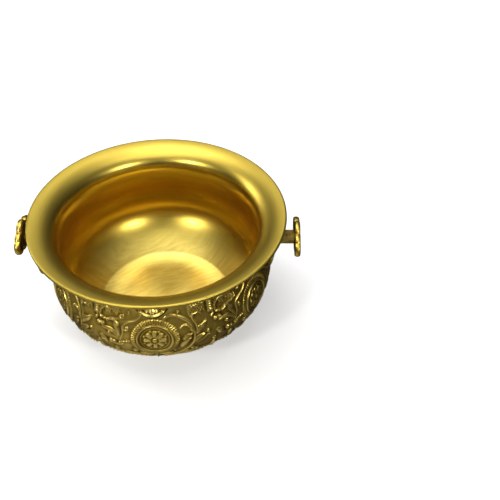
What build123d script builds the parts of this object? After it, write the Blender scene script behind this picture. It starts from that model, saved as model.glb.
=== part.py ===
"""Cast brass treasure basin: a flared bowl on a turned foot ring, with two built-up side ears.

Millimetres. +Z is up, the bowl stands on z = 0 with its axis on Z, and the ears stand out along +X and -X.
"""
from build123d import *
import math
import os

# ---- bowl: outside radii and the heights at which they occur ----
rim_radius = 100.0
rim_height = 106.0
neck_radius = 81.0
neck_height = 86.5
belly_radius = 87.6
belly_height = 54.5
base_radius = 52.0
base_height = 7.5
base_slope = 36.0          # degrees, how steeply the belly leaves the flat base

# ---- bowl: wall, floor and lip ----
wall = 3.0
floor_thickness = 4.5
floor_radius = 54.0        # flat turned disc inside
floor_crease = 42.0        # degrees, how steeply the wall leaves the floor
lip_thickness = 2.8
lip_slope = 9.0            # degrees, how much the flare still rises at the lip

# ---- cups cast under the flare, all round ----
cup_count = 6
cup_turn = 1.7             # degrees, the first one round from the front
cup_reach = 3.0            # its edge stops short of the rim
cup_edge_drop = 12.5       # middle of its edge, below the rim
cup_keel_reach = 6.5       # middle of its keel, beyond the neck
cup_keel_drop = 24.0
cup_root_drop = 30.0       # where the keel leaves the neck
cup_half_width = 14.0
cup_straight = 9.0         # half-width over which its edge keeps its full reach
cup_climb = 0.08           # rise of keel and edge off the middle, per millimetre squared

# ---- foot ring ----
foot_outer_radius = 50.9
foot_inner_radius = 45.6
foot_edge_round = 0.9

# ---- ears: strap that carries the plate ----
ear_height = 82.4          # mid-plane of the strap
strap_width = 13.0
strap_thickness = 2.2
rib_width = 1.4            # raised edges under the strap
rib_depth = 1.0
tongue_thickness = 2.0

# ---- ears: root casting that is brazed to the neck ----
pad_width = 19.0
pad_height = 13.0
pad_standoff = 3.4         # outer face of the pad beyond the neck
pad_corner = 3.0
arm_length = 4.6           # pad face to collar
notch_radius = 1.7
notch_spacing = 11.6       # across the arm, centre to centre
collar_length = 6.0
collar_wall = 1.6
tongue_length = 11.0

# ---- ears: cloud-shaped end plate ----
plate_reach = 6.4          # face towards the bowl, out beyond the rim
plate_thickness = 4.5
plate_centre_height = 84.2
plate_edge = 0.8
crown_lobe_radius = 8.6
crown_lobe_lift = 3.0
shoulder_lobe_radius = 7.4
shoulder_lobe_out = 9.6
end_lobe_radius = 6.2
end_lobe_out = 14.8
end_lobe_drop = 2.0
lower_lobe_radius = 7.2
lower_lobe_out = 5.0
lower_lobe_drop = 4.4
tenon_width = 8.0

# ---- rivet through each strap and tongue ----
rivet_radius = 1.0
rivet_head_radius = 1.9
rivet_head_height = 0.8
rivet_from_collar = 6.5

# ---- fits ----
slip = 0.05                # strap in its collar, tenon in its slot, rivet in its holes
braze_gap = 0.05           # between the neck and the pad brazed to it


def point(r, z):
    return Vector(r, 0, z)


def outside_line():
    """Outer profile from the flat base to the underside of the lip: three tangent curves."""
    rise = belly_height - base_height
    lift = math.radians(base_slope)
    reach = 0.52 * rise
    upper = neck_height - belly_height
    flare = rim_height - lip_thickness - neck_height
    tip = math.radians(lip_slope)
    under_lip = point(rim_radius - 0.3 * lip_thickness, rim_height - lip_thickness)
    throw = 0.5 * (under_lip.X - neck_radius)
    belly = Bezier(
        point(base_radius, base_height),
        point(base_radius + reach * math.cos(lift), base_height + reach * math.sin(lift)),
        point(belly_radius, belly_height - 0.46 * rise),
        point(belly_radius, belly_height),
    )
    shoulder = Bezier(
        point(belly_radius, belly_height),
        point(belly_radius, belly_height + 0.38 * upper),
        point(neck_radius, neck_height - 0.36 * upper),
        point(neck_radius, neck_height),
    )
    trumpet = Bezier(
        point(neck_radius, neck_height),
        point(neck_radius, neck_height + 0.6 * flare),
        under_lip - point(throw * math.cos(tip), throw * math.sin(tip)),
        under_lip,
    )
    return [belly, shoulder, trumpet]


def inside_line():
    """Inner profile from the rim of the mouth down to the edge of the flat floor."""
    floor_height = base_height + floor_thickness
    rise = belly_height - floor_height
    crease = math.radians(floor_crease)
    reach = 0.5 * rise
    upper = neck_height - belly_height
    throat = neck_height + 0.5 * wall
    flare = rim_height - throat
    tip = math.radians(lip_slope)
    mouth = point(rim_radius - 0.5 * lip_thickness, rim_height)
    throw = 0.5 * (mouth.X - neck_radius + wall)
    trumpet = Bezier(
        mouth,
        mouth - point(throw * math.cos(tip), throw * math.sin(tip)),
        point(neck_radius - wall, throat + 0.6 * flare),
        point(neck_radius - wall, throat),
    )
    shoulder = Bezier(
        point(neck_radius - wall, throat),
        point(neck_radius - wall, throat - 0.36 * upper),
        point(belly_radius - wall, belly_height + 0.38 * upper),
        point(belly_radius - wall, belly_height),
    )
    cove = Bezier(
        point(belly_radius - wall, belly_height),
        point(belly_radius - wall, belly_height - 0.46 * rise),
        point(floor_radius + reach * math.cos(crease), floor_height + reach * math.sin(crease)),
        point(floor_radius, floor_height),
    )
    return [trumpet, shoulder, cove]


def revolved(edges):
    return revolve(make_face(Wire(edges)), axis=Axis.Z, revolution_arc=360)


def cup_section(offset):
    """Upright slice of a cup, offset millimetres round from its middle; its back is inside the bowl."""
    climb = cup_climb * offset**2
    cap = rim_height - 6.0
    back = neck_radius - wall - 2.0
    root = point(neck_radius, rim_height - cup_root_drop + climb)
    keel = point(neck_radius + cup_keel_reach, rim_height - cup_keel_drop + climb)
    edge = point(rim_radius - cup_reach, rim_height - cup_edge_drop + climb)
    if edge.Z > cap:
        edge = keel + (edge - keel) * ((cap - keel.Z) / (edge.Z - keel.Z))
    top = point(edge.X - 1.2, rim_height - 2.6)
    corners = [point(back, root.Z - 5.0), root, keel, edge, top, point(back, top.Z)]
    turn = math.degrees(offset / belly_radius)
    return Rot(0, 0, turn) * make_face(Polyline(*corners, close=True))


def make_hollow():
    """Everything inside the bowl, up to the rim, as one solid."""
    inner = inside_line()
    mouth = inner[0] @ 0
    floor = inner[-1] @ 1
    edges = [
        *inner,
        Line(floor, point(0, floor.Z)),
        Line(point(0, floor.Z), point(0, mouth.Z)),
        Line(point(0, mouth.Z), mouth),
    ]
    return revolved(edges)


def make_cups():
    offsets = [-cup_half_width, -cup_straight, 0.0, cup_straight, cup_half_width]
    cup = loft([cup_section(offset) for offset in offsets], ruled=True) - make_hollow()
    front = -90.0 + cup_turn
    return [Rot(0, 0, front + 360.0 * k / cup_count) * cup for k in range(cup_count)]


def make_bowl():
    outer = outside_line()
    inner = inside_line()
    floor_height = base_height + floor_thickness
    under_lip = outer[-1] @ 1
    mouth = inner[0] @ 0
    lip = ThreePointArc(under_lip, point(rim_radius, rim_height - 0.5 * lip_thickness), mouth)
    floor = Line(point(floor_radius, floor_height), point(0, floor_height))
    axis = Line(point(0, floor_height), point(0, base_height))
    base = Line(point(0, base_height), point(base_radius, base_height))
    bowl = revolved([base, *outer, lip, *inner, floor, axis])
    for cup in make_cups():
        bowl += cup
    return bowl


def make_seat_cutter():
    """The bowl's outside as one full solid, a braze gap wider, to cut what seats against it."""
    outer = [Pos(braze_gap, 0, 0) * edge for edge in outside_line()]
    foot = outer[0] @ 0
    top = outer[-1] @ 1
    edges = [
        Line(point(0, foot.Z), foot),
        *outer,
        Line(top, point(0, top.Z)),
        Line(point(0, top.Z), point(0, foot.Z)),
    ]
    return revolved(edges)


def make_foot_ring():
    e = foot_edge_round
    diagonal = e * (1 - math.sqrt(0.5))
    edges = [
        Line(point(foot_inner_radius, base_height), point(foot_inner_radius, e)),
        ThreePointArc(
            point(foot_inner_radius, e),
            point(foot_inner_radius + diagonal, diagonal),
            point(foot_inner_radius + e, 0),
        ),
        Line(point(foot_inner_radius + e, 0), point(foot_outer_radius - e, 0)),
        ThreePointArc(
            point(foot_outer_radius - e, 0),
            point(foot_outer_radius - diagonal, diagonal),
            point(foot_outer_radius, e),
        ),
        Line(point(foot_outer_radius, e), point(foot_outer_radius, base_height)),
        Line(point(foot_outer_radius, base_height), point(foot_inner_radius, base_height)),
    ]
    return revolved(edges)


def block(x0, x1, width, z0, z1):
    """A box from x0 to x1 and z0 to z1, centred on the X axis across Y."""
    return Pos((x0 + x1) / 2, 0, (z0 + z1) / 2) * Box(x1 - x0, width, z1 - z0)


# places along the ear, shared by the pieces that meet there
plate_inner_x = rim_radius + plate_reach
strap_low = ear_height - strap_thickness / 2
strap_high = ear_height + strap_thickness / 2
pad_face_x = neck_radius + pad_standoff
collar_start_x = pad_face_x + arm_length
collar_end_x = collar_start_x + collar_length
tongue_end_x = collar_end_x + tongue_length
rivet_x = collar_end_x + rivet_from_collar
tongue_low = strap_low - slip - tongue_thickness
seat_depth = 12.0          # how far root material reaches in before the neck cuts it


def rivet_hole(z0, z1):
    return Pos(rivet_x, 0, (z0 + z1) / 2) * Cylinder(rivet_radius + slip, z1 - z0)


def make_ear_root():
    """Pad seated on the neck, waisted arm, closed collar and the tongue under the strap."""
    pad = Pos((pad_face_x - seat_depth + pad_face_x) / 2, 0, ear_height) * Box(
        seat_depth, pad_width, pad_height
    )
    pad = fillet(pad.edges().filter_by(Axis.X), pad_corner)
    arm_top = strap_high + collar_wall / 2
    arm = block(pad_face_x - 1, collar_start_x + 1, strap_width, tongue_low, arm_top)
    collar_top = strap_high + slip + collar_wall
    collar_width = strap_width + 2 * (slip + collar_wall)
    collar_low = tongue_low - collar_wall / 2
    collar = block(collar_start_x, collar_end_x, collar_width, collar_low, collar_top)
    collar = fillet(collar.edges().filter_by(Axis.X), collar_wall / 2)
    tongue_width = strap_width - 2 * (rib_width + slip)
    tongue = block(collar_start_x, tongue_end_x, tongue_width, tongue_low, strap_low - slip)
    inner_x = collar_start_x + collar_wall
    cuts = [
        block(inner_x, collar_end_x + 1, strap_width + 2 * slip, strap_low - slip, strap_high + slip),
        rivet_hole(tongue_low - 1, strap_low + 1),
    ]
    rib_room = block(
        inner_x, collar_end_x + 1, rib_width + 2 * slip, strap_low - rib_depth - slip, strap_low
    )
    notch = Pos(pad_face_x + arm_length / 2, 0, ear_height) * Cylinder(notch_radius, pad_height)
    for side in (-1, 1):
        cuts.append(Pos(0, side * (strap_width - rib_width) / 2, 0) * rib_room)
        cuts.append(Pos(0, side * notch_spacing / 2, 0) * notch)
    root = pad + arm + collar + tongue - make_seat_cutter()
    return root - cuts


def make_ear_strap():
    """Flat strap with two raised edges underneath; its narrow end passes through the plate."""
    start = collar_start_x + collar_wall + slip
    strap = block(start, plate_inner_x, strap_width, strap_low, strap_high)
    for side in (-1, 1):
        y = side * (strap_width - rib_width) / 2
        rib = block(start, plate_inner_x, rib_width, strap_low - rib_depth, strap_low)
        strap = strap + Pos(0, y, 0) * rib
    tenon_end = plate_inner_x + plate_thickness
    tenon = block(plate_inner_x - 1, tenon_end, tenon_width, strap_low, strap_high)
    return strap + tenon - rivet_hole(strap_low - 1, strap_high + 1)


def plate_lobes():
    """(across, up, radius) of each round lobe of the cloud outline."""
    return [
        (0, crown_lobe_lift, crown_lobe_radius),
        (-shoulder_lobe_out, 0, shoulder_lobe_radius),
        (shoulder_lobe_out, 0, shoulder_lobe_radius),
        (-end_lobe_out, -end_lobe_drop, end_lobe_radius),
        (end_lobe_out, -end_lobe_drop, end_lobe_radius),
        (-lower_lobe_out, -lower_lobe_drop, lower_lobe_radius),
        (lower_lobe_out, -lower_lobe_drop, lower_lobe_radius),
    ]


def make_ear_plate():
    """Cloud outline standing across the end of the strap, slotted for the tenon."""
    plate = Part()
    for across, up, radius in plate_lobes():
        lobe = Rot(0, 90, 0) * Cylinder(radius, plate_thickness)
        lobe = chamfer(lobe.edges(), plate_edge)
        x = plate_inner_x + plate_thickness / 2
        plate = plate + Pos(x, across, plate_centre_height + up) * lobe
    slot = block(
        plate_inner_x - 1,
        plate_inner_x + plate_thickness + 1,
        tenon_width + 2 * slip,
        strap_low - slip,
        strap_high + slip,
    )
    return plate - slot


def rivet_cap(z, up):
    """Arc of a domed rivet head from its rim at height z to its crown; up is +1 or -1."""
    ball = (rivet_head_radius**2 + rivet_head_height**2) / (2 * rivet_head_height)
    centre = z + up * (rivet_head_height - ball)
    half = math.asin(rivet_head_radius / ball) / 2
    middle = point(ball * math.sin(half), centre + up * ball * math.cos(half))
    return ThreePointArc(point(rivet_head_radius, z), middle, point(0, z + up * rivet_head_height))


def make_ear_rivet():
    """Round shank with a domed head below the tongue and a matching peened head on the strap."""
    low = tongue_low
    high = strap_high
    edges = [
        rivet_cap(low, -1),
        Line(point(rivet_head_radius, low), point(rivet_radius, low)),
        Line(point(rivet_radius, low), point(rivet_radius, high)),
        Line(point(rivet_radius, high), point(rivet_head_radius, high)),
        rivet_cap(high, 1),
        Line(point(0, high + rivet_head_height), point(0, low - rivet_head_height)),
    ]
    return Pos(rivet_x, 0, 0) * revolved(edges)


def save(name, shape):
    solids = shape.solids()
    body = solids[0] if len(solids) == 1 else Compound(children=list(solids))
    export_step(body, f"parts/{name}.step")
    print(name, len(solids), "solid(s)", round(shape.volume, 1), "mm3")


os.makedirs("parts", exist_ok=True)
save("bowl_body", make_bowl())
save("foot_ring", make_foot_ring())
ear_pieces = {
    "ear_root": make_ear_root(),
    "ear_strap": make_ear_strap(),
    "ear_plate": make_ear_plate(),
    "ear_rivet": make_ear_rivet(),
}
for name, piece in ear_pieces.items():
    save(f"{name}_right", piece)
    save(f"{name}_left", Rot(0, 0, 180) * piece)
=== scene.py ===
import math

import bpy
import numpy as np
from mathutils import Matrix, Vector


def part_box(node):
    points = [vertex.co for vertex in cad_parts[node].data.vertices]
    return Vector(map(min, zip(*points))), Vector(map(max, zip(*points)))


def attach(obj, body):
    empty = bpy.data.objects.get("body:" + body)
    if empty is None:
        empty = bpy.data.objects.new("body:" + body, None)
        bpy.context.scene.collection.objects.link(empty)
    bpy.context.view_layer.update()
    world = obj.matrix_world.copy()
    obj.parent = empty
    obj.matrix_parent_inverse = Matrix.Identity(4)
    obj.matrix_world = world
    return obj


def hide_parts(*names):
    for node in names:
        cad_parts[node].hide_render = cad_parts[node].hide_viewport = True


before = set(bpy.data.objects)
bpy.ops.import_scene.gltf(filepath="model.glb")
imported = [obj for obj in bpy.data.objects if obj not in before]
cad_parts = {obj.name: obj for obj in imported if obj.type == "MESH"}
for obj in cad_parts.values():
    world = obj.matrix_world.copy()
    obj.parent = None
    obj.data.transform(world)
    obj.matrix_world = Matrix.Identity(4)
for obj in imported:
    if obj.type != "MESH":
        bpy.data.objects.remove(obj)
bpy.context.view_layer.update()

MM = 0.001

# ==== Bowl casting ====================================================================
# One lost-wax casting in yellow brass: a deep round belly, a narrow neck and a wide flare.
# Its inside, its lip and its floor are skimmed and brushed on a lathe; the outside stays as
# cast, so this shell's outer wall is only the backing that the raised work stands on.

rim_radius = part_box("bowl_body")[1].x / MM
rim_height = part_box("bowl_body")[1].z / MM
base_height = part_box("foot_ring")[1].z / MM
neck_radius = 81.0
neck_height = 86.5
belly_radius = 87.6
belly_height = 54.5
base_radius = 52.0
base_slope = 36.0
wall = 3.0
floor_height = base_height + 4.5
floor_radius = 54.0
floor_crease = 42.0
lip_thickness = 2.8
lip_slope = 9.0
LIP_INSET = 0.3 * lip_thickness
# How far each curve is pulled along its end directions, as a share of its rise or reach.
BASE_PULL = 0.52
FLOOR_PULL = 0.5
BELLY_PULL_DOWN = 0.46
BELLY_PULL_UP = 0.38
NECK_PULL_DOWN = 0.36
NECK_PULL_UP = 0.6
LIP_PULL = 0.5
# How deep the outer wall is sunk below the metal's true surface.
BACKING = 0.9
ROUND_STEPS = 480
SHELL_STEPS = 90
INSIDE_STEPS = 26
LIP_STEPS = 12
LIP_START = -62.0
TANGENT_REACH = 0.2


def bezier(a, b, c, d, steps):
    """Cubic curve from a to d pulled towards b and c, at steps + 1 even values of its parameter."""
    t = np.linspace(0, 1, steps + 1)[:, None]
    a, b, c, d = (np.asarray(p, float) for p in (a, b, c, d))
    return (1 - t) ** 3 * a + 3 * (1 - t) ** 2 * t * b + 3 * (1 - t) * t**2 * c + t**3 * d


def heading(degrees):
    """A unit step in (radius, height) at that many degrees above level."""
    return np.array([math.cos(math.radians(degrees)), math.sin(math.radians(degrees))])


def joined(*curves):
    """Curves laid end to end, with the shared end points kept once."""
    return np.vstack([curves[0]] + [c[1:] for c in curves[1:]])


def outside_line(steps):
    """Radius and height from the flat base, over belly and neck, to the underside of the lip."""
    rise = belly_height - base_height
    upper = neck_height - belly_height
    flare = rim_height - lip_thickness - neck_height
    start = np.array([base_radius, base_height])
    under_lip = np.array([rim_radius - LIP_INSET, rim_height - lip_thickness])
    throw = LIP_PULL * (under_lip[0] - neck_radius)
    return joined(
        bezier(start, start + BASE_PULL * rise * heading(base_slope),
               (belly_radius, belly_height - BELLY_PULL_DOWN * rise),
               (belly_radius, belly_height), steps),
        bezier((belly_radius, belly_height), (belly_radius, belly_height + BELLY_PULL_UP * upper),
               (neck_radius, neck_height - NECK_PULL_DOWN * upper),
               (neck_radius, neck_height), steps),
        bezier((neck_radius, neck_height), (neck_radius, neck_height + NECK_PULL_UP * flare),
               under_lip - throw * heading(lip_slope), under_lip, steps),
    )


def inside_line(steps):
    """Radius and height from the top of the lip, down the flare, neck and belly, to the floor."""
    rise = belly_height - floor_height
    upper = neck_height - belly_height
    throat = neck_height + 0.5 * wall
    flare = rim_height - throat
    neck = neck_radius - wall
    belly = belly_radius - wall
    mouth = np.array([rim_radius - 0.5 * lip_thickness, rim_height])
    corner = np.array([floor_radius, floor_height])
    throw = LIP_PULL * (mouth[0] - neck)
    return joined(
        bezier(mouth, mouth - throw * heading(lip_slope), (neck, throat + NECK_PULL_UP * flare),
               (neck, throat), steps),
        bezier((neck, throat), (neck, throat - NECK_PULL_DOWN * upper),
               (belly, belly_height + BELLY_PULL_UP * upper), (belly, belly_height), steps),
        bezier((belly, belly_height), (belly, belly_height - BELLY_PULL_DOWN * rise),
               corner + FLOOR_PULL * rise * heading(floor_crease), corner, steps),
    )


def along(line, steps, start=0.0, end=None):
    """Points at even arc lengths from start to end along a polyline, and their outward normals."""
    length = np.concatenate([[0], np.cumsum(np.hypot(*np.diff(line, axis=0).T))])
    s = np.linspace(start, length[-1] if end is None else end, steps + 1)
    points = np.stack([np.interp(s, length, line[:, k]) for k in (0, 1)], 1)
    ahead, behind = (np.stack([np.interp(s + step, length, line[:, k]) for k in (0, 1)], 1)
                     for step in (TANGENT_REACH, -TANGENT_REACH))
    tangent = ahead - behind
    tangent /= np.hypot(*tangent.T)[:, None]
    return s, points, np.stack([tangent[:, 1], -tangent[:, 0]], 1)


def make_piece(name, points, faces, slot, node, material, **fields):
    """A smooth mesh object from points in millimetres and faces, riding on the body and
    replacing a node. Each extra keyword is a number per point that the materials read."""
    mesh = bpy.data.meshes.new(name)
    mesh.vertices.add(len(points))
    mesh.vertices.foreach_set("co", (np.asarray(points, np.float32) * MM).ravel())
    sizes = np.concatenate([np.full(len(f), f.shape[1]) for f in faces])
    corners = np.concatenate([f.ravel() for f in faces])
    mesh.loops.add(len(corners))
    mesh.loops.foreach_set("vertex_index", corners.astype(np.int32))
    mesh.polygons.add(len(sizes))
    starts = np.concatenate([[0], np.cumsum(sizes)[:-1]])
    mesh.polygons.foreach_set("loop_start", starts.astype(np.int32))
    mesh.polygons.foreach_set("use_smooth", np.full(len(sizes), True))
    mesh.update(calc_edges=True)
    mesh.validate()
    for field, values in fields.items():
        layer = mesh.attributes.new(field, "FLOAT", "POINT")
        layer.data.foreach_set("value", np.asarray(values, np.float32).ravel())
    piece = bpy.data.objects.new(name, mesh)
    bpy.context.scene.collection.objects.link(piece)
    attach(piece, "root")
    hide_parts(node)
    mesh.materials.append(material)


def grid_faces(rows, columns, first=0, wrap_columns=False, wrap_rows=False):
    """Quads of a rows x columns grid of points numbered row by row, facing out when columns run
    counter-clockwise and rows run upwards."""
    r = np.arange(rows if wrap_rows else rows - 1)[:, None]
    c = np.arange(columns if wrap_columns else columns - 1)[None, :]
    r2 = (r + 1) % rows
    c2 = (c + 1) % columns
    quads = np.stack([r * columns + c, r * columns + c2, r2 * columns + c2, r2 * columns + c], -1)
    return quads.reshape(-1, 4) + first


def turned(name, profile, slot, node, material, closed=False):
    """A profile of (radius, height) points turned once about Z.

    Profiles run so that the metal lies on their left. An open profile starts and ends on the
    axis, and each pole is closed by a fan; a closed one is a ring.
    """
    steps = ROUND_STEPS
    angle = np.arange(steps) * 2 * math.pi / steps
    body = profile if closed else profile[1:-1]
    r, z = body[:, :1], body[:, 1:]
    points = np.stack([r * np.cos(angle), r * np.sin(angle), z + 0 * angle], -1).reshape(-1, 3)
    rows = len(body)
    faces = [grid_faces(rows, steps, wrap_columns=True, wrap_rows=closed)]
    if not closed:
        points = np.vstack([points, [[0, 0, profile[0, 1]], [0, 0, profile[-1, 1]]]])
        near = np.arange(steps)
        far = near + (rows - 1) * steps
        low = np.stack([np.full(steps, rows * steps), np.roll(near, -1), near], 1)
        high = np.stack([np.full(steps, rows * steps + 1), far, np.roll(far, -1)], 1)
        faces += [low, high]
    make_piece(name, points, faces, slot, node, material)


def arc(centre, radius, start, end, steps):
    """Points of a circular arc, angles in degrees."""
    a = np.radians(np.linspace(start, end, steps + 1))
    return np.stack([centre[0] + radius * np.cos(a), centre[1] + radius * np.sin(a)], 1)


OUTSIDE = outside_line(60)
RIM_BAND_START = 90.0
RIM_BAND_END = 97.4
UNDER_INSET = 4


def shell_profile():
    """Sunken outer backing, plain band under the lip, lip, inside wall and floor."""
    _, points, normals = along(OUTSIDE, SHELL_STEPS)
    plain = points[:, 0] > RIM_BAND_END
    sunk = np.where(plain & (points[:, 1] > neck_height), 0.0, BACKING)[:, None]
    backing = points - normals * sunk
    under = np.array([[0, base_height + BACKING], [base_radius - UNDER_INSET, base_height + BACKING]])
    lip = arc((rim_radius - lip_thickness / 2, rim_height - lip_thickness / 2), lip_thickness / 2,
              LIP_START, 90, LIP_STEPS)
    floor_radii = floor_radius * np.array([1, 0.66, 0.33, 0])
    floor = np.stack([floor_radii, np.full(len(floor_radii), floor_height)], 1)
    return joined(under, backing[1:], np.vstack([backing[-1:], lip]), inside_line(INSIDE_STEPS),
                  floor)


class Socket:
    """A shader socket, so that shader maths can be written as ordinary expressions."""

    def __init__(self, finish, socket):
        self.finish = finish
        self.socket = socket

    def maths(self, operation, *values):
        return self.finish.node("ShaderNodeMath", {"operation": operation}, *values)

    def __add__(self, other):
        return self.maths("ADD", self, other)

    __radd__ = __add__

    def __sub__(self, other):
        return self.maths("SUBTRACT", self, other)

    def __rsub__(self, other):
        return self.maths("SUBTRACT", other, self)

    def __mul__(self, other):
        return self.maths("MULTIPLY", self, other)

    __rmul__ = __mul__

    def __pow__(self, other):
        return self.maths("POWER", self, other)

    def between(self, low, high):
        """0 below low, 1 above high, smooth between."""
        settings = {"interpolation_type": "SMOOTHSTEP"}
        return self.finish.node("ShaderNodeMapRange", settings, self, low, high)


class Finish:
    """A node tree under construction: node() adds any node, surface() ends it with its metal."""

    def __init__(self, owner):
        owner.use_nodes = True
        self.owner = owner
        self.nodes = owner.node_tree.nodes
        self.links = owner.node_tree.links
        self.nodes.clear()

    def node(self, kind, settings, *values, output=None, **named):
        """A node of that kind: its settings first, then its inputs in order or by name.

        What comes back is the named output, or else the first one in use.
        """
        made = self.nodes.new(kind)
        for key, value in settings.items():
            setattr(made, key, value)
        inputs = [s for s in made.inputs if s.enabled]
        for key, value in list(enumerate(values)) + list(named.items()):
            target = inputs[key] if isinstance(key, int) else made.inputs[key.replace("_", " ")]
            if isinstance(value, Socket):
                self.links.new(value.socket, target)
            else:
                target.default_value = value
        outputs = [s for s in made.outputs if s.enabled]
        if not outputs:
            return None
        return Socket(self, made.outputs[output] if output else outputs[0])

    def place(self):
        """The point's own place on the object, in metres."""
        return self.node("ShaderNodeTexCoord", {}, output="Object")

    def axes(self, vector):
        """The x, y and z of a vector."""
        return [self.node("ShaderNodeSeparateXYZ", {}, vector, output=axis) for axis in "XYZ"]

    def vector(self, x, y, z):
        """A vector made of three numbers."""
        return self.node("ShaderNodeCombineXYZ", {}, x, y, z)

    def noise(self, vector, scale, detail=3.0, roughness=0.55):
        """Soft noise about 0.5; vector is in metres, or already scaled when scale is 1."""
        return self.node("ShaderNodeTexNoise", {}, Vector=vector, Scale=scale, Detail=detail,
                         Roughness=roughness)

    def mix(self, factor, low, high):
        """A colour between low and high."""
        settings = {"data_type": "RGBA"}
        return self.node("ShaderNodeMix", settings, factor, low, high)

    def field(self, name):
        """A number kept on the mesh's points."""
        return self.node("ShaderNodeAttribute", {"attribute_name": name}, output="Fac")

    def bump(self, height, strength, distance):
        """A normal tilted by the slope of height."""
        return self.node("ShaderNodeBump", {}, Height=height, Strength=strength, Distance=distance)

    def surface(self, colour, roughness, normal, anisotropic=0.0):
        """The metal itself, and the finished material."""
        shader = self.node("ShaderNodeBsdfPrincipled", {}, Base_Color=colour, Roughness=roughness,
                           Metallic=1.0, Anisotropic=anisotropic, Normal=normal)
        self.node("ShaderNodeOutputMaterial", {}, shader)
        return self.owner


def brushed_brass():
    """Lathe-brushed brass: fine streaks round the axis on flare and wall, a darker, warmer band
    painted down the wall as shade, and a paler floor and cove scrubbed in short swirls."""
    f = Finish(bpy.data.materials.new("brushed_brass"))
    place = f.place()
    x, y, z = f.axes(place)
    radius = (x * x + y * y) ** 0.5
    scrubbed = z.between(34 * MM, 12 * MM)
    lip = z.between(103.5 * MM, 105.5 * MM)
    ahead, aside, down = x * radius**-1, y * radius**-1, radius + z
    streaks = f.noise(f.vector(ahead * 2.4, aside * 2.4, down * 520.0), 1.0, 4.0, 0.7)
    bands = f.noise(f.vector(ahead * 1.2, aside * 1.2, down * 110.0), 1.0, 2.0)
    bent = f.noise(place, 16.0, 1.0)
    swirl = f.noise(f.vector(x * 38.0 + y * 22.0 + bent * 3.0, y * 210.0 - x * 130.0 + bent * 12.0, 0.0),
                    1.0, 5.0, 0.72)
    cloud = f.noise(place, 22.0, 4.0)
    colour = f.mix(cloud.between(0.35, 0.7), (0.64, 0.465, 0.075, 1), (0.70, 0.515, 0.090, 1))
    colour = f.mix((streaks * 0.6 + bands * 0.4).between(0.42, 0.66) * 0.4, colour,
                   (0.52, 0.35, 0.045, 1))
    # Painted shade: the wall between cove and throat is coloured darker and warmer, standing in for the
    # dim light the wall mirrors.
    painted_wall_shade = z.between(24 * MM, 52 * MM) * z.between(92 * MM, 82 * MM)
    colour = f.mix(painted_wall_shade * (0.75 + 0.4 * streaks), colour, (0.37, 0.21, 0.016, 1))
    colour = f.mix(scrubbed, colour, f.mix(swirl.between(0.34, 0.66), (0.82, 0.62, 0.125, 1),
                                          (0.97, 0.78, 0.20, 1)))
    flare = z.between(95 * MM, 102 * MM)
    colour = f.mix(flare * 0.5, colour, (0.55, 0.41, 0.065, 1))
    rough = 0.23 + 0.04 * cloud + 0.08 * streaks + 0.11 * flare + 0.05 * lip
    rough = rough + scrubbed * (0.15 + 0.16 * (swirl - 0.5))
    height = streaks * (1 - scrubbed) * 0.2 + swirl * scrubbed * 0.4
    return f.surface(colour, rough, f.bump(height, 0.02, 0.0002), anisotropic=0.3)


turned("bowl_shell", shell_profile(), "cast_brass", "bowl_body", brushed_brass())


# ==== Relief round the belly ==========================================================
# Cast in one with the bowl: six roundels with toothed borders, a boat-shaped cup standing off
# the neck over each, vines, leaves and beads between them, and broad leaves below. Six equal
# sectors stand for it here, each a closed plate sunk into the backing.

SECTORS = 6
FIRST_TURN = 1.7
RELIEF_COLUMNS = 276
RELIEF_ROWS = 322
BACK_COLUMNS = 12
DEGREE = belly_radius * math.pi / 180
PERIOD = 360 / SECTORS * DEGREE
PETAL_BAND_END = 15.0
GROUND = -0.35
SECTOR_ROOTING = 0.6
ROUNDEL_S = 64.2
OUTSIDE_S = np.concatenate([[0], np.cumsum(np.hypot(*np.diff(OUTSIDE, axis=0).T))])
RIM_BAND_S = float(np.interp(RIM_BAND_START, OUTSIDE[60:, 0], OUTSIDE_S[60:]))


def across(grid, degrees):
    """Distance in mm round the belly from a place given in degrees, the short way round."""
    return (grid[0] - degrees * DEGREE + PERIOD / 2) % PERIOD - PERIOD / 2


def dome(distance, half_width):
    """Half-round section: 1 on the centre line, 0 at the half width."""
    return np.sqrt(np.clip(1 - (distance / half_width) ** 2, 0, 1))


def bead(grid, degrees, s, radius, height):
    """A round stud."""
    return height * dome(np.hypot(across(grid, degrees), grid[1] - s), radius)


def smooth_path(points, pieces=7):
    """Catmull-Rom curve through (degrees, s) points, in mm."""
    p = np.array([(d * DEGREE, s) for d, s in points], float)
    p = np.vstack([2 * p[0] - p[1], p, 2 * p[-1] - p[-2]])
    t = np.linspace(0, 1, pieces, endpoint=False)[:, None]
    spans = [
        0.5 * (2 * b + (c - a) * t + (2 * a - 5 * b + 4 * c - d) * t**2 + (3 * b - a - 3 * c + d) * t**3)
        for a, b, c, d in zip(p, p[1:], p[2:], p[3:])
    ]
    return np.vstack(spans + [p[-2:-1]])


def nearest(grid, path):
    """Distance from every grid point to a path, and the share of the path passed there."""
    middle = path[:, 0].mean()
    x = (grid[0] - middle + PERIOD / 2) % PERIOD - PERIOD / 2 + middle
    best = np.full(x.shape, 1e9)
    share = np.zeros(x.shape)
    count = len(path) - 1
    for k, (a, b) in enumerate(zip(path[:-1], path[1:])):
        d = b - a
        t = np.clip(((x - a[0]) * d[0] + (grid[1] - a[1]) * d[1]) / (d @ d + 1e-9), 0, 1)
        away = np.hypot(x - a[0] - t * d[0], grid[1] - a[1] - t * d[1])
        closer = away < best
        best = np.where(closer, away, best)
        share = np.where(closer, (k + t) / count, share)
    return best, share


def vine(grid, points, width, height, taper=0.4, split=0.0):
    """A half-round stem through points, thinning to its end; split cuts a groove along it."""
    away, share = nearest(grid, smooth_path(points))
    half = 0.42 * width * (1 - (1 - taper) * share)
    return height * dome(away, half) * (1 - split * np.exp(-((away / (0.22 * width)) ** 2)))


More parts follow.
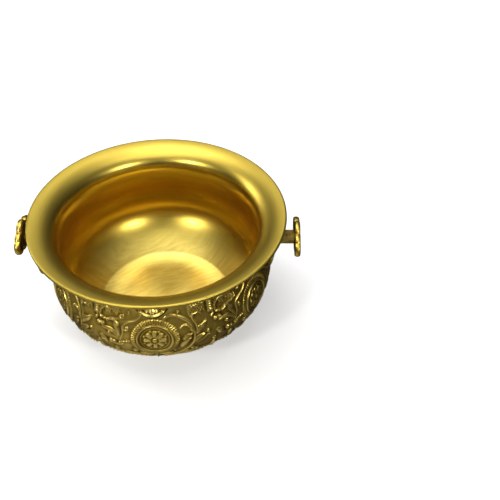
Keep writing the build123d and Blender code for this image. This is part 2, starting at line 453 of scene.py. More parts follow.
def leaf(grid, points, width, height, veins=0.0):
    """A leaf on a curved spine: widest a third of the way along, hollowed beside a raised rib."""
    away, share = nearest(grid, smooth_path(points))
    half = 0.5 * width * np.sin(math.pi * np.clip(share, 0.0, 1) ** 0.75) ** 0.8 + 0.15
    body = dome(away, half) ** 0.7
    dish = 1 - 0.45 * np.exp(-(((away / half - 0.45) / 0.25) ** 2))
    combed = 1 + veins * 0.3 * np.sin(share * 60 + away * 3.0)
    return height * body * dish * combed * (0.55 + 0.45 * share)


def spiral(grid, degrees, s, turns, radius, height, start, hand=1):
    """A stem rolled up into a curl round its own end."""
    a = np.linspace(0, turns * 2 * math.pi, int(10 * turns) + 4)
    r = radius * (1 - 0.8 * a / a[-1])
    bearing = start + hand * a
    path = np.stack([degrees * DEGREE + r * np.cos(bearing), s + r * np.sin(bearing)], 1)
    away, share = nearest(grid, path)
    return height * dome(away, 0.26 * radius * (1 - 0.3 * share))


def roundel(grid, s):
    """Raised ring, toothed border outside it, and an eight-petalled rosette inside."""
    x, y = across(grid, 0), grid[1] - s
    r, a = np.hypot(x, y), np.arctan2(y, x)
    ring = 1.45 * dome(r - 13.3, 0.95)
    teeth = (0.95 * dome(r - 16.4, 2.0) ** 0.5) * (0.3 + 0.7 * (np.cos(54 * a) > -0.1))
    petals = 8
    fold = (a + math.pi / petals) % (2 * math.pi / petals) - math.pi / petals
    tip = 2.6 * np.cos(fold * petals / 2) ** 0.6 + 6.0
    petal = 1.05 * dome(r * np.sin(fold), 1.7 + 0.14 * (r - 5)) * (r < tip) * (r > 3.3)
    petal = petal * (0.5 + 0.5 * np.abs(np.sin(fold * petals * 0.5)) ** 0.3)
    gap = a % (2 * math.pi / petals) - math.pi / petals
    between = 0.7 * dome(np.hypot(r - 8.6, r * gap), 1.0)
    heart = 1.3 * dome(r, 2.3) + 0.5 * dome(r - 3.0, 0.4)
    rim_line = 0.5 * dome(r - 10.9, 0.4)
    inside = np.maximum.reduce([rim_line, petal, between, heart])
    return np.maximum.reduce([ring, teeth, np.where(r < 12.2, inside, 0)])


CUP_HEIGHTS = (76.0, 82.0, 88.5, 93.5, 96.5, 99.5)
CUP_RADII = (81.0, 87.5, 94.8, 97.0, 95.2, 91.5)
CUP_EDGE_HEIGHT = CUP_HEIGHTS[3]
CUP_CENTRE = 0.9
CUP_CLIMB = 0.080
CUP_HALF_WIDTH = 15.5


def cup(grid, line):
    """How far the cup over a roundel stands straight out from the axis, the height of its
    raised edge, and the light painted on it: a painted highlight on its edge and beads,
    painted shade on its face and a painted shadow in a band under its keel.

    Its keel slopes out from the neck to a sharp edge, its face leans back a little above
    that, and it ends under the flare. Away from the middle the keel climbs as a parabola.
    """
    x, s = across(grid, CUP_CENTRE), grid[1]
    climb = line[:, 1:] - CUP_CLIMB * x**2
    radius = np.interp(climb, CUP_HEIGHTS, CUP_RADII)
    fade = np.clip((RIM_BAND_S - s) / 3.6, 0, 1) * np.clip((CUP_HALF_WIDTH - np.abs(x)) / 1.2, 0, 1)
    fade = fade * fade * (3 - 2 * fade)
    out = np.maximum(radius - line[:, :1], 0) * fade * (climb > CUP_HEIGHTS[0])
    up = climb - CUP_EDGE_HEIGHT
    edge = (1.3 * dome(up - 0.3, 1.0) + 0.35 * dome(up + 5.5, 0.6) + 0.35 * dome(up + 9.0, 0.6))
    beads = [1.9 * dome(np.hypot(x - d, up - 3.4), 1.7 - 0.12 * abs(d)) for d in (-3.2, 0, 3.2)]
    edge = np.where(out > 0.3, np.maximum.reduce([edge] + beads), 0) * fade
    # Painted light, added to the wear: a painted highlight on the edge and beads, painted shade on the
    # face above, a painted shadow in the band under the edge.
    shade = (0.5 * edge - 0.2) * (up > -0.6) - 0.7 * (up < -0.8) * (up > -7)
    return out, edge, shade * (out > 0.3)


def scales(grid, low, high, left, right, height):
    """Rows of small overlapping scales, faded out at the edges of their patch."""
    x = across(grid, (left + right) / 2)
    s = grid[1]
    row = np.floor(s / 1.9)
    u = (x / 2.3 + 0.5 * (row % 2)) % 1 - 0.5
    v = (s / 1.9) % 1
    lobe = dome(np.hypot(u * 2.2, v - 0.15), 0.95)
    half = (right - left) / 2 * DEGREE
    wobble = 1.2 * np.sin(x * 0.9) + 0.9 * np.sin(x * 2.1 + 1)
    patch = np.clip((half - np.abs(x)) / 1.5, 0, 1) * np.clip((s - low + wobble) / 1.2, 0, 1)
    patch = patch * np.clip((high - s) / 1.2, 0, 1)
    return patch * (0.35 * height + height * lobe)


def tassel(grid, degrees, low, high, width, height):
    """A hanging tassel ribbed across, with a scalloped end."""
    x, s = across(grid, degrees), grid[1]
    body = dome(x, width / 2) ** 0.6 * np.clip((s - low) / 0.8, 0, 1) * np.clip((high - s) / 0.8, 0, 1)
    return height * body * (0.55 + 0.45 * np.abs(np.sin((s + 0.12 * x * x) * math.pi / 2.2)))


def belly_relief(grid, outline):
    """Everything raised on one sector, in mm, with the cup's reach and shade from cup().

    Where shapes meet the highest one shows, and under the cup there is only the cup.
    """
    parts = [roundel(grid, ROUNDEL_S)]
    parts += [
        # right of the roundel
        vine(grid, [(5.2, 81.8), (5.6, 83.6), (8, 85), (11.5, 84.2), (15.2, 80.4), (18, 75.4),
                    (19.5, 69), (19.6, 61)], 2.5, 1.15, 0.7, 0.55),
        vine(grid, [(13, 73.2), (14.4, 75.2), (16.4, 74.6), (17.6, 72.4)], 1.5, 0.9, 0.6),
        vine(grid, [(22.4, 82.6), (20.6, 83), (19.2, 81.2), (19.6, 78), (20.8, 74), (21, 70)],
             1.7, 1.2, 0.7),
        bead(grid, 19.4, 82.2, 1.6, 1.5),
        bead(grid, 12.2, 86.6, 1.5, 1.6),
        leaf(grid, [(20.6, 64.6), (22.4, 69.4), (24.2, 71), (26.2, 75)], 4.6, 1.7),
        leaf(grid, [(20.2, 66.5), (18.4, 70), (18.6, 73)], 2.4, 1.1),
        leaf(grid, [(12.6, 53.2), (14.4, 58), (17.4, 62.6)], 4.4, 1.7),
        leaf(grid, [(13.8, 61.2), (15.6, 64.4), (18.4, 66.4)], 3.4, 1.4),
        leaf(grid, [(19.2, 57), (21.6, 60.6), (24.8, 63)], 5.0, 1.7),
        leaf(grid, [(19.4, 55), (23, 57), (27, 61.4)], 3.2, 1.3),
        vine(grid, [(19.6, 62), (18.6, 56), (16, 50), (12, 46)], 2.2, 1.2, 0.8, 0.4),
        bead(grid, 26.6, 64.2, 1.5, 1.5),
        bead(grid, 31.4, 73.2, 2.0, 1.7),
        bead(grid, 33.2, 58.4, 2.3, 1.8),
        bead(grid, 18.4, 48.6, 1.9, 1.6),
        bead(grid, 9.4, 50.4, 1.2, 1.2),
        scales(grid, 82.0, 91.5, 17.0, 27.0, 0.75),
        vine(grid, [(18.4, 88.5), (21, 89.6), (23.4, 87.4), (25.6, 85.2)], 1.6, 1.25, 0.5),
        tassel(grid, 29.4, 80.0, 93.0, 5.2, 1.5),
        bead(grid, 32.4, 78.6, 1.5, 1.5),
        bead(grid, 34.2, 77.8, 1.2, 1.3),
        # left of the roundel
        vine(grid, [(-6.4, 85.4), (-9.2, 81.4), (-13.4, 78.6), (-15.9, 75), (-15.8, 69),
                    (-17.4, 62)], 2.0, 1.25, 0.7, 0.45),
        spiral(grid, -14.0, 73.4, 1.2, 2.6, 1.0, 2.2),
        bead(grid, -14.0, 73.4, 1.1, 1.3),
        vine(grid, [(-24.4, 77), (-22.6, 78.6), (-20.2, 78.4), (-18.2, 76)], 2.2, 1.4, 0.5),
        leaf(grid, [(-20.6, 77.6), (-19.2, 75.4), (-17.8, 74.6)], 2.8, 1.3),
        vine(grid, [(-22.5, 79.6), (-18.6, 80.2), (-15.6, 82.2)], 1.6, 1.2, 0.6),
        spiral(grid, -16.6, 83.2, 1.1, 2.2, 1.1, 0.5, -1),
        leaf(grid, [(-27.4, 70), (-23, 69.8), (-19.6, 67.6), (-17.8, 64)], 3.6, 1.5),
        leaf(grid, [(-20.6, 75.2), (-18.4, 70.6), (-17.4, 65.4)], 2.8, 1.2),
        bead(grid, -26.7, 73.2, 1.9, 1.8),
        bead(grid, -22.9, 66.6, 1.7, 1.7),
        bead(grid, -22.4, 58.4, 2.2, 1.9),
        bead(grid, -20.6, 58.0, 1.9, 1.8),
        leaf(grid, [(-23.2, 57), (-19.6, 55.6), (-15.6, 56.6)], 3.0, 1.3),
        bead(grid, -10.2, 51.6, 2.4, 1.7),
        bead(grid, -20.2, 50.2, 2.1, 1.7),
        leaf(grid, [(-29, 62), (-26.4, 59), (-24.8, 54)], 4.2, 1.5),
        scales(grid, 84.5, 92.0, -33.0, -17.0, 0.7),
        bead(grid, -12.4, 86.4, 1.4, 1.3),
        bead(grid, -13.6, 91.0, 1.3, 1.2),
        vine(grid, [(-28.4, 80), (-27.8, 84.6), (-25.4, 88.4), (-22.6, 87.6)], 1.9, 1.2, 0.6),
        vine(grid, [(-30.5, 76.4), (-29.6, 78.4), (-30.4, 81.6)], 2.6, 1.3, 0.5),
    ]
    parts += [bead(grid, -17.9 + 1.25 * k, 58.8 + 0.65 * k, 1.0, 1.3) for k in range(5)]
    parts += [
        # broad leaves under the roundel, mirrored, and a bud between them
        shape
        for hand in (-1, 1)
        for shape in (
            leaf(grid, [(hand * 2.0, 30), (hand * 5, 37), (hand * 10.5, 42.6), (hand * 16, 46.5)],
                 7.5, 1.8, 1),
            leaf(grid, [(hand * 13, 27), (hand * 15, 35), (hand * 20, 41), (hand * 26.5, 43)],
                 8.5, 1.8, 1),
            leaf(grid, [(hand * 29.6, 24), (hand * 25.4, 32), (hand * 20, 36.5), (hand * 15, 37)],
                 6.5, 1.5, 1),
            vine(grid, [(hand * 4, 25), (hand * 9, 30), (hand * 13, 35.5), (hand * 11.6, 39)],
                 1.9, 1.2, 0.5),
            spiral(grid, hand * 9.4, 36.4, 1.2, 2.6, 1.1, 0.4, hand),
            leaf(grid, [(hand * 0.6, 43.5), (hand * 3.6, 45.8), (hand * 8.4, 47.6)], 4.2, 1.6),
            bead(grid, hand * 20.5, 46.6, 1.6, 1.4),
        )
    ]
    parts += [
        leaf(grid, [(0, 27.5), (0, 36), (0, 46.5)], 6.5, 1.9, 1),
        leaf(grid, [(30, 27), (30, 36), (30, 50)], 7.0, 1.8, 1),
        bead(grid, 0, 26.2, 1.7, 1.5),
        bead(grid, 30, 53, 1.9, 1.6),
        bead(grid, 30, 25.6, 1.6, 1.4),
    ]
    parts += [bead(grid, -28.5 + 3.0 * k, 20.6, 1.0, 0.9) for k in range(20)]
    line = np.maximum(0.7 * dome(grid[1] - 18.2, 0.7), 0.55 * dome(grid[1] - 23.0, 0.55))
    outward, edge, shade = cup(grid, outline)
    height = np.maximum.reduce(parts + [line])
    return np.where(outward > 0, 0, height) + edge, outward, shade


def softened(height, cells):
    """A box blur, run along both ways of the grid, that keeps the grid's size."""
    for axis in (0, 1):
        pad = [(cells, cells) if k == axis else (0, 0) for k in (0, 1)]
        total = np.cumsum(np.pad(height, pad, mode="edge"), axis=axis)
        total = np.insert(total, 0, 0, axis=axis)
        n = height.shape[axis]
        width = 2 * cells + 1
        upper = np.take(total, np.arange(width, width + n), axis=axis)
        height = (upper - np.take(total, np.arange(n), axis=axis)) / width
    return height


def relief_wear(height, cells=9):
    """How far each point stands above (+) or below (-) its surroundings, in mm."""
    return height - softened(softened(height, cells), cells // 2)


def relief_sector():
    """Points, faces, and wear with the cup's painted light, of one closed sector, turned to face -Y.

    The front is the outside line, lifted along its normal by the relief's height over the
    ground and pushed straight out by the cup. The back is the same line sunk into the shell.
    """
    margin = 16
    cell = PERIOD / RELIEF_COLUMNS
    x = (np.arange(-margin, RELIEF_COLUMNS + 1 + margin) - RELIEF_COLUMNS / 2) * cell
    s, line, normal = along(OUTSIDE, RELIEF_ROWS, PETAL_BAND_END, RIM_BAND_S)
    grid = np.meshgrid(x, s)
    height, outward, shade = belly_relief(grid, line)
    height = softened(height, 1)
    # The cup's painted shadow and highlight are added to the relief's wear here.
    wear = relief_wear(height) + shade
    keep = slice(margin, margin + RELIEF_COLUMNS + 1)
    height, outward, wear = (a[:, keep] for a in (height, outward, wear))
    angle = x[keep] / belly_radius
    lift = (height + GROUND)[..., None] * normal[:, None]
    r = line[:, :1] + lift[..., 0] + outward
    z = line[:, 1:] + lift[..., 1]
    front = np.stack([r * np.sin(angle), -r * np.cos(angle), z], -1)

    back_angle = np.linspace(angle[0], angle[-1], BACK_COLUMNS + 1)
    sunk = line - normal * (BACKING + SECTOR_ROOTING)
    back = np.stack([sunk[:, :1] * np.sin(back_angle), -sunk[:, :1] * np.cos(back_angle),
                     sunk[:, 1:] + 0 * back_angle], -1)
    rows, columns = front.shape[:2]
    first = rows * columns
    faces = [grid_faces(rows, columns), grid_faces(rows, BACK_COLUMNS + 1, first)[:, ::-1]]
    r_index = np.arange(rows - 1)
    left, back_left = r_index * columns, first + r_index * (BACK_COLUMNS + 1)
    right, back_right = left + columns - 1, back_left + BACK_COLUMNS
    faces.append(np.stack([left, left + columns, back_left + BACK_COLUMNS + 1, back_left], 1))
    faces.append(np.stack([right, back_right, back_right + BACK_COLUMNS + 1, right + columns], 1))
    faces += end_fans(rows, columns, first)
    points = np.vstack([front.reshape(-1, 3), back.reshape(-1, 3)])
    hidden = np.zeros(back.shape[0] * back.shape[1])
    return points, faces, np.concatenate([wear.ravel(), hidden])


def end_fans(rows, columns, first):
    """Triangles that close the top and bottom edges between the fine front and coarse back."""
    ratio = (columns - 1) // BACK_COLUMNS
    c = np.arange(columns - 1)
    near = (c + ratio // 2) // ratio
    joints = np.arange(BACK_COLUMNS)
    middle = joints * ratio + ratio - ratio // 2
    fans = []
    for row, up in ((0, False), (rows - 1, True)):
        front = row * columns
        back = first + row * (BACK_COLUMNS + 1)
        fan = np.stack([front + c, front + c + 1, back + near], 1)
        gap = np.stack([back + joints, front + middle, back + joints + 1], 1)
        fans += [fan[:, ::-1] if not up else fan, gap[:, ::-1] if not up else gap]
    return fans


def antique_brass(name, dark_low=-0.5, bright_high=0.35):
    """Cast brass with dark wax left in its hollows and its high spots rubbed bright; where its field
    carries painted light, the same colours paint that shade and highlight.
    """
    f = Finish(bpy.data.materials.new(name))
    place = f.place()
    wear = f.field("wear")
    stain = f.noise(place, 55.0, 5.0, 0.6)
    grain = f.noise(place, 900.0, 3.0, 0.6)
    # Dark wax in the hollows of the relief, and painted shade where the field carries it.
    dark_wax_and_painted_shade = (wear + (stain - 0.5) * 0.35).between(0.12, dark_low)
    # Rubbed bright high spots, and painted highlight where the field carries it.
    high = (wear + (stain - 0.5) * 0.2).between(0.05, bright_high)
    colour = f.mix(stain.between(0.3, 0.75), (0.66, 0.435, 0.062, 1), (0.84, 0.595, 0.108, 1))
    colour = f.mix(dark_wax_and_painted_shade * 0.85, colour, (0.085, 0.042, 0.006, 1))
    colour = f.mix(high, colour, (0.94, 0.72, 0.19, 1))
    rough = 0.36 - 0.07 * high + 0.2 * dark_wax_and_painted_shade + 0.08 * grain
    return f.surface(colour, rough, f.bump(grain, 0.35, 0.00025))


antique = antique_brass("antique_brass")
sector_points, sector_faces, sector_wear = relief_sector()
for number in range(SECTORS):
    a = math.radians(FIRST_TURN + number * 360 / SECTORS)
    turn = np.array([[math.cos(a), math.sin(a), 0], [-math.sin(a), math.cos(a), 0], [0, 0, 1]])
    make_piece(f"belly_relief_{number + 1}", sector_points @ turn, sector_faces,
               "cast_brass", "bowl_body", antique, wear=sector_wear)


# ==== Bands cast round the rim and the foot ===========================================
# Two repeating borders of the same casting: curled clouds under the flare, and upright lotus
# petals with fine lines in them that spread from the foot ring. Each is a closed ring here.

CLOUDS = 54
CLOUD_CELLS = 26
CLOUD_ROWS = 30
CLOUD_RADIUS = 94
LIP_GAP = 1.9
PETALS = 36
PETAL_CELLS = 26
PETAL_ROWS = 44
PETAL_BAND_START = 0.05
BAND_ROOTING = 0.5


def border(name, start, end, rows, repeats, cells, pattern):
    """A closed ring on the outside line from arc length start to end, raised by pattern.

    pattern(u, s) gives mm of height along the line's normal; u runs from -0.5 to 0.5 over one
    repeat of the border. Four plain rows sunk into the shell close the back.
    """
    steps = repeats * cells
    s, line, normal = along(OUTSIDE, rows, start, end)
    u = (np.arange(cells) + 0.5) / cells - 0.5
    height = np.tile(pattern(*np.meshgrid(u, s)), (1, repeats))
    height = softened(height, 1)
    wear = relief_wear(height, 6)
    angle = (np.arange(steps) + 0.5) / steps * 2 * math.pi
    top = height[..., None] * normal[:, None] + line[:, None]
    back_rows = [-1, rows * 2 // 3, rows // 3, 0]
    sunk = (line - (BACKING + BAND_ROOTING) * normal)[back_rows][:, None]
    both = np.concatenate([top, sunk + np.zeros((len(back_rows), steps, 2))])
    radius, up = both[..., 0], both[..., 1]
    points = np.stack([radius * np.sin(angle), -radius * np.cos(angle), up], -1)
    wear = np.concatenate([wear, np.zeros((len(back_rows), steps))])
    faces = [grid_faces(len(both), steps, wrap_columns=True, wrap_rows=True)]
    make_piece(name, points.reshape(-1, 3), faces, "cast_brass", "bowl_body", antique, wear=wear)


def cloud_pattern(u, s):
    """A scallop open to the rim with two rolled curls in it, and a bead where scallops meet."""
    pitch = 2 * math.pi * CLOUD_RADIUS / CLOUDS
    x = u * pitch
    y = s - RIM_BAND_S
    scallop = 0.75 * dome(np.hypot(x, (y - 5.6) * 0.98) - 4.55, 0.62) * (y < 6.2)
    left = np.hypot(np.abs(x) - 2.0, y - 4.6)
    curls = np.maximum(0.7 * dome(left - 1.25, 0.45), 0.75 * dome(left, 0.62))
    stem = 0.65 * dome(x, 0.5) * (y > 1.8) * (y < 3.9)
    meeting = 0.75 * dome(np.hypot(np.abs(x) - pitch / 2, y - 3.0), 0.95)
    lines = np.maximum(0.6 * dome(y - 0.45, 0.45), 0.5 * dome(y - 7.7, 0.42))
    return np.maximum.reduce([scallop, curls, stem, meeting, lines])


def petal_pattern(u, s):
    """A round-ended petal with a double outline and three fine lines, over a plain ground."""
    pitch = math.radians(360 / PETALS) * (base_radius + 0.8 * s)
    x = np.abs(u * pitch)
    half = 0.36 * pitch
    y = s - 1.2
    tip = np.hypot(x, np.maximum(y - 9.2, 0) * 0.95)
    away = np.where(y > 9.2, tip, x) - half
    body = 0.45 * (away < 0)
    outline = 0.55 * dome(away + 0.45, 0.5)
    second = 0.35 * dome(away + 1.35, 0.38)
    lines = 0.4 * dome((x + 0.6) % 1.2 - 0.6, 0.3) * (x < 1.6) * (y < 9.4) * (y > 1)
    between = 0.3 * dome(x - pitch / 2, 0.4) * (y < 10)
    return (np.maximum.reduce([outline + body, second + body, lines + body, body, between])
            * np.clip(s / 1.0, 0, 1))


border("rim_band", RIM_BAND_S, float(OUTSIDE_S[-1]) - LIP_GAP, CLOUD_ROWS, CLOUDS, CLOUD_CELLS,
       cloud_pattern)
border("petal_band", PETAL_BAND_START, PETAL_BAND_END, PETAL_ROWS, PETALS, PETAL_CELLS,
       petal_pattern)


# ==== Underside of the base ===========================================================
# The flat disc inside the foot ring, stippled with a punch, with a raised square fret where a
# maker would put a mark.

DISC_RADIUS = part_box("foot_ring")[1].x / MM - 5.0
DISC_RINGS = 130
DISC_FACE = base_height + 0.25
DISC_BACK = base_height + 1.6
STIPPLE_DEPTH = 0.05
FRET_HALF_WIDE = 16.5
FRET_HALF_TALL = 13.0
FRET_CELL = 5.6
FRET_MARGIN = 2.6
FRET_SCALE = 0.9


def fret(x, y):
    """A raised frame line round a plain key pattern of nested squares, mirrored both ways."""
    box_edge = np.maximum(np.abs(x) - FRET_HALF_WIDE, np.abs(y) - FRET_HALF_TALL)
    frame_line = 0.5 * dome(box_edge, 0.65)
    cell = FRET_CELL
    u = np.abs((x + cell) % (2 * cell) - cell) / cell * 4
    v = np.abs((y + cell) % (2 * cell) - cell) / cell * 4
    ring_number = np.maximum(u, v)
    hooks = (np.cos(ring_number * math.pi) > 0.1) * 0.42
    return np.maximum(frame_line, hooks * (box_edge < -FRET_MARGIN))


def base_disc():
    """A closed disc facing down: a polar grid with the fret raised on it and a flat back.

    Its height is the face's, less the fret, less a blurred random stipple kept off the edge.
    """
    rings = np.linspace(0, DISC_RADIUS, DISC_RINGS + 1)[1:]
    steps = ROUND_STEPS
    angle = np.arange(steps) * 2 * math.pi / steps
    x = rings[:, None] * np.cos(angle)
    y = rings[:, None] * np.sin(angle)
    raised = fret(x, y) * FRET_SCALE
    rng = np.random.default_rng(4)
    stipple = softened(rng.normal(0, STIPPLE_DEPTH, raised.shape), 1)
    z = DISC_FACE - raised - stipple * (rings[:, None] < DISC_RADIUS - 1)
    front = np.stack([x, y, z], -1)
    back = np.stack([x[[-1]], y[[-1]], np.full((1, steps), DISC_BACK)], -1)
    points = np.concatenate([front, back]).reshape(-1, 3)
    points = np.vstack([points, [[0, 0, DISC_FACE], [0, 0, DISC_BACK]]])
    rows = len(rings) + 1
    near = np.arange(steps)
    centre = rows * steps
    faces = [grid_faces(rows, steps, wrap_columns=True),
             np.stack([np.full(steps, centre), np.roll(near, -1), near], 1),
             np.stack([np.full(steps, centre + 1), near + (rows - 1) * steps,
                       np.roll(near, -1) + (rows - 1) * steps], 1)]
    wear = np.concatenate([relief_wear(raised, 4).ravel(), np.zeros(steps + 2)])
    make_piece("base_disc", points, faces, "cast_brass", "bowl_body", antique, wear=wear)


base_disc()


# ==== Foot ring =======================================================================
# A plain ring turned from brass and brazed under the base, its lower edges rounded over. Its
# section is closed and goes once round the axis; its top edge is sunk into the base.

FOOT_INNER = 45.6
FOOT_ROUND = 0.9


def foot_profile():
    """Square ring section with rounded lower edges and two fine turned lines outside."""
    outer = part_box("foot_ring")[1].x / MM
    inner = FOOT_INNER
    e = FOOT_ROUND
    top = base_height
    z = np.linspace(e, top - 0.1, 40)
    line = 0.16 * (dome(z - 2.4, 0.35) + dome(z - 5.9, 0.35))
    side = np.stack([outer - line, z], 1)
    return np.vstack([
        side,
        [[outer, top + 0.6], [inner, top + 0.6]],
        np.stack([np.full(8, inner), np.linspace(top, e, 8)], 1),
        arc((inner + e, e), e, 180, 270, 7)[1:],
        arc((outer - e, e), e, 270, 360, 7)[:-1],
    ])


def turned_brass():
    """Turned brass, fine grooves round the axis, rubbed brighter at the edge it stands on."""
    f = Finish(bpy.data.materials.new("turned_brass"))
    place = f.place()
    x, y, z = f.axes(place)
    radius = (x * x + y * y) ** 0.5
    grooves = f.noise(f.vector(radius * 1200.0, z * 1200.0, 0.0), 1.0, 2.0)
    cloud = f.noise(place, 60.0, 4.0)
    edge = z.between(1.6 * MM, 0.2 * MM)
    colour = f.mix(cloud.between(0.3, 0.7), (0.52, 0.36, 0.085, 1), (0.64, 0.46, 0.12, 1))
    colour = f.mix(edge * 0.7, colour, (0.85, 0.64, 0.18, 1))
    return f.surface(colour, 0.30 + 0.12 * cloud, f.bump(grooves, 0.1, 0.0002))


turned("foot_ring_turned", foot_profile(), "turned_brass", "foot_ring", turned_brass(),
       closed=True)


# ==== Ears ============================================================================
# Each ear is built up: a cast root brazed to the neck, a strap pushed through its collar, one
# rivet, and a cloud-shaped plate peened on the strap's end. The root, strap and rivet are the
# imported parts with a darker, handled finish; the plates are modelled again with their relief.

PLATE_EDGE_ROUND = 1.5
PLATE_CENTRE = 84.2
PLATE_STEPS = 540
# Each lobe of the cloud: sideways and up from the plate's middle, and its radius.
LOBES = [(0, 3.0, 8.6), (-9.6, 0, 7.4), (9.6, 0, 7.4), (-14.8, -2.0, 6.2), (14.8, -2.0, 6.2),
         (-5.0, -4.4, 7.2), (5.0, -4.4, 7.2)]


def cloud_outline(angle):
    """Distance from the plate's middle to the outer edge of its lobes, along each angle."""
    c, s = np.cos(angle), np.sin(angle)
    reach = np.zeros_like(angle)
    for sideways, up, radius in LOBES:
        on = sideways * c + up * s
        off = sideways * s - up * c
        hit = radius**2 - off**2
        reach = np.maximum(reach, np.where(hit > 0, on + np.sqrt(np.maximum(hit, 0)), 0))
    return reach


def plate_relief(x, y):
    """Two rolled curls and a middle bud, as on a cloud head."""
    curls = []
    for hand in (-1, 1):
        d = np.hypot(hand * x - 9.4, y + 0.6)
        a = np.arctan2(y + 0.6, hand * x - 9.4)
        curls.append(0.7 * dome((d - 0.42 * (a + math.pi)) % 2.64 - 1.32, 0.8) * (d < 5.2))
    bud = 0.9 * dome(np.hypot(x, (y - 4.4) * 0.8), 3.0)
    base = 0.7 * dome(np.hypot(x, y + 5.2) - 2.2, 0.7)
    return np.maximum.reduce(curls + [bud, base])


def ear_plate(side, node):
    """A closed plate: rings from the middle of one face, over a rounded edge, to the other.

    Every ring is the cloud outline shrunk to a share of its reach. The outer face is raised by
    the curls or by a line along the border, the inner face by the border line alone.
    """
    low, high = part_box(node)
    steps = PLATE_STEPS
    angle = np.arange(steps) * 2 * math.pi / steps
    reach = cloud_outline(angle)
    centre = PLATE_CENTRE
    thick = (high.x - low.x) / MM
    e = PLATE_EDGE_ROUND
    inward = np.linspace(0, 1, 42)[1:] ** 0.8
    rim = np.radians(np.linspace(0, 180, 15))
    rows = []
    for share in inward:
        r = (reach - e) * share
        lift = plate_relief(r * np.cos(angle), r * np.sin(angle)) * (share < 0.9)
        border_line = 0.35 * dome((reach - e) * (1 - share) - 1.2, 1.0)
        rows.append((r, -thick / 2 + 0.9 - np.maximum(lift * 0.75, border_line), lift))
    flat = rows[-1][0]
    for a in rim:
        rows.append((flat + e * np.sin(a) + 0 * angle,
                     np.full(steps, -thick / 2 * np.cos(a)), 0.5 + 0 * angle))
    for share in inward[::-1]:
        r = (reach - e) * share
        lift = 0.4 * dome((reach - e) * (1 - share) - 1.2, 1.0)
        rows.append((r, thick / 2 - 0.5 + np.minimum(lift, 0.5), lift))
    r = np.array([row[0] for row in rows])
    out = np.array([row[1] for row in rows])
    wear = np.array([row[2] for row in rows])
    plate_x = (low.x + high.x) / 2 / MM - side * out
    points = np.stack([plate_x, r * np.cos(angle) * side, centre + r * np.sin(angle)], -1)
    points = np.vstack([points.reshape(-1, 3), [[plate_x[0, 0], 0, centre], [plate_x[-1, 0], 0, centre]]])
    near = np.arange(steps)
    count = len(r)
    faces = [grid_faces(count, steps, wrap_columns=True)[:, ::-1],
             np.stack([np.full(steps, count * steps), near, np.roll(near, -1)], 1),
             np.stack([np.full(steps, count * steps + 1), np.roll(near, -1) + (count - 1) * steps,
                       near + (count - 1) * steps], 1)]
    # Painted light: lowering every point by a quarter darkens the plate's faces as painted shade, while
    # its rounded edge comes out lighter, partly rubbed wear and partly a painted highlight.
    wear = np.concatenate([(wear - 0.25).ravel(), [0, 0]])
    make_piece(node + "_cast", points, faces, "ear_brass", node, ear_brass, wear=wear)


def handled_brass():
    """Dark, unevenly stained cast brass, for the parts that have no wear of their own to read."""
    f = Finish(bpy.data.materials.new("handled_brass"))
    place = f.place()
    stain = f.noise(place, 140.0, 5.0, 0.6)
    grain = f.noise(place, 900.0, 3.0, 0.6)
    colour = f.mix(stain.between(0.35, 0.7), (0.24, 0.16, 0.035, 1), (0.46, 0.33, 0.08, 1))
    rough = 0.34 + 0.2 * stain
    return f.surface(colour, rough, f.bump(grain, 0.3, 0.0002))


ear_brass = antique_brass("ear_brass", -0.30, 1.0)
ear_metal = handled_brass()
for side, word in ((1, "right"), (-1, "left")):
    ear_plate(side, "ear_plate_" + word)
    for piece in ("ear_root_", "ear_strap_", "ear_rivet_"):
        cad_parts[piece + word].data.materials.clear()
        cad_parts[piece + word].data.materials.append(ear_metal)

# ==== Studio ==========================================================================
# A pale floor under the bowl. Two small soft boxes either side of the lens put the upright
# highlights on the wall, three larger ones behind light the flare and the left side, and a
# broad one overhead fills the floor of the bowl.


def pale_floor():
    """A matt pale sheet seen only from above; its own glow grows away from the bowl, so the
    floor keeps its shadow and still runs evenly white to the horizon."""
    f = Finish(bpy.data.materials.new("pale_floor"))
    x, y, _ = f.axes(f.place())
    glow = 0.40 + 0.55 * (x * x + y * y).between(0.05, 1.2)
    sheet = f.node("ShaderNodeBsdfDiffuse", {}, (0.86, 0.86, 0.85, 1))
    light = f.node("ShaderNodeEmission", {}, f.vector(glow, glow, glow))
    shade = f.node("ShaderNodeAddShader", {}, sheet, light)
    clear = f.node("ShaderNodeBsdfTransparent", {})
    below = f.node("ShaderNodeNewGeometry", {}, output="Backfacing")
    f.node("ShaderNodeOutputMaterial", {}, f.node("ShaderNodeMixShader", {}, below, shade, clear))
    return f.owner


def floor_sheet():
    """A flat square floor under the foot ring."""
    half = 3000.0
    points = np.array([[-half, -half, 0], [half, -half, 0], [half, half, 0], [-half, half, 0]])
    mesh = bpy.data.meshes.new("studio_floor")
    mesh.from_pydata((points * MM).tolist(), [], [(0, 1, 2, 3)])
    floor = bpy.data.objects.new("studio_floor", mesh)
    bpy.context.scene.collection.objects.link(floor)
    floor.data.materials.append(pale_floor())
    floor.visible_glossy = False


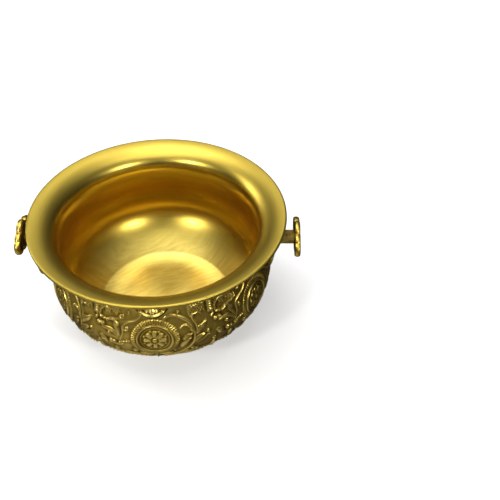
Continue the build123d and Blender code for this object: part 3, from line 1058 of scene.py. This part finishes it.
def soft_box(name, place, width, tall, power):
    """An area light at a place in metres, turned to face the bowl."""
    data = bpy.data.lights.new(name, "AREA")
    data.shape = "RECTANGLE"
    data.size = width
    data.size_y = tall
    data.energy = power
    light = bpy.data.objects.new(name, data)
    bpy.context.scene.collection.objects.link(light)
    light.location = place
    facing = Vector(place) - Vector((0, 0, 0.06))
    light.rotation_euler = facing.to_track_quat("Z", "Y").to_euler()


def studio_world():
    """White behind the bowl for the lens. What the metal mirrors is a dim room instead: a soft
    glow low in front and to the left, where the table is, and a fainter one overhead."""
    world = bpy.data.worlds.new("studio")
    bpy.context.scene.world = world
    f = Finish(world)
    x, y, z = f.axes(f.node("ShaderNodeTexCoord", {}))
    low = z.between(0.1, -0.6) * y.between(0.3, -0.5) * (0.15 + 1.1 * x.between(0.75, -0.45))
    high = z.between(0.2, 0.9)
    glow = 0.03 + 0.55 * low + 0.10 * high
    room = f.node("ShaderNodeBackground", {}, Strength=glow)
    seen = f.node("ShaderNodeBackground", {}, (1, 1, 1, 1))
    lens = f.node("ShaderNodeLightPath", {})
    f.node("ShaderNodeOutputWorld", {}, f.node("ShaderNodeMixShader", {}, lens, room, seen))


floor_sheet()
studio_world()
soft_box("left_soft_box", (-0.56, -0.78, 0.74), 0.16, 0.16, 3.8)
soft_box("right_soft_box", (0.66, -0.78, 0.74), 0.16, 0.16, 3.8)
soft_box("left_back_soft_box", (-0.95, 0.40, 0.55), 0.30, 0.50, 3.0)
soft_box("back_soft_box", (-0.20, 0.40, 1.20), 0.60, 0.40, 2.7)
soft_box("far_soft_box", (0.05, 1.00, 0.95), 0.60, 0.40, 0.9)
soft_box("overhead", (-0.08, -0.10, 1.25), 1.0, 0.8, 8.0)

camera_data = bpy.data.cameras.new("studio_camera")
camera_data.lens = 54.0
camera_data.sensor_width = 36.0
camera = bpy.data.objects.new("studio_camera", camera_data)
bpy.context.scene.collection.objects.link(camera)
camera.location = (0.0717, -0.4443, 0.4793)
camera.rotation_euler = [math.radians(a) for a in (47.14, -0.26, 0.25)]
bpy.context.scene.camera = camera
bpy.context.scene.view_settings.view_transform = "Standard"
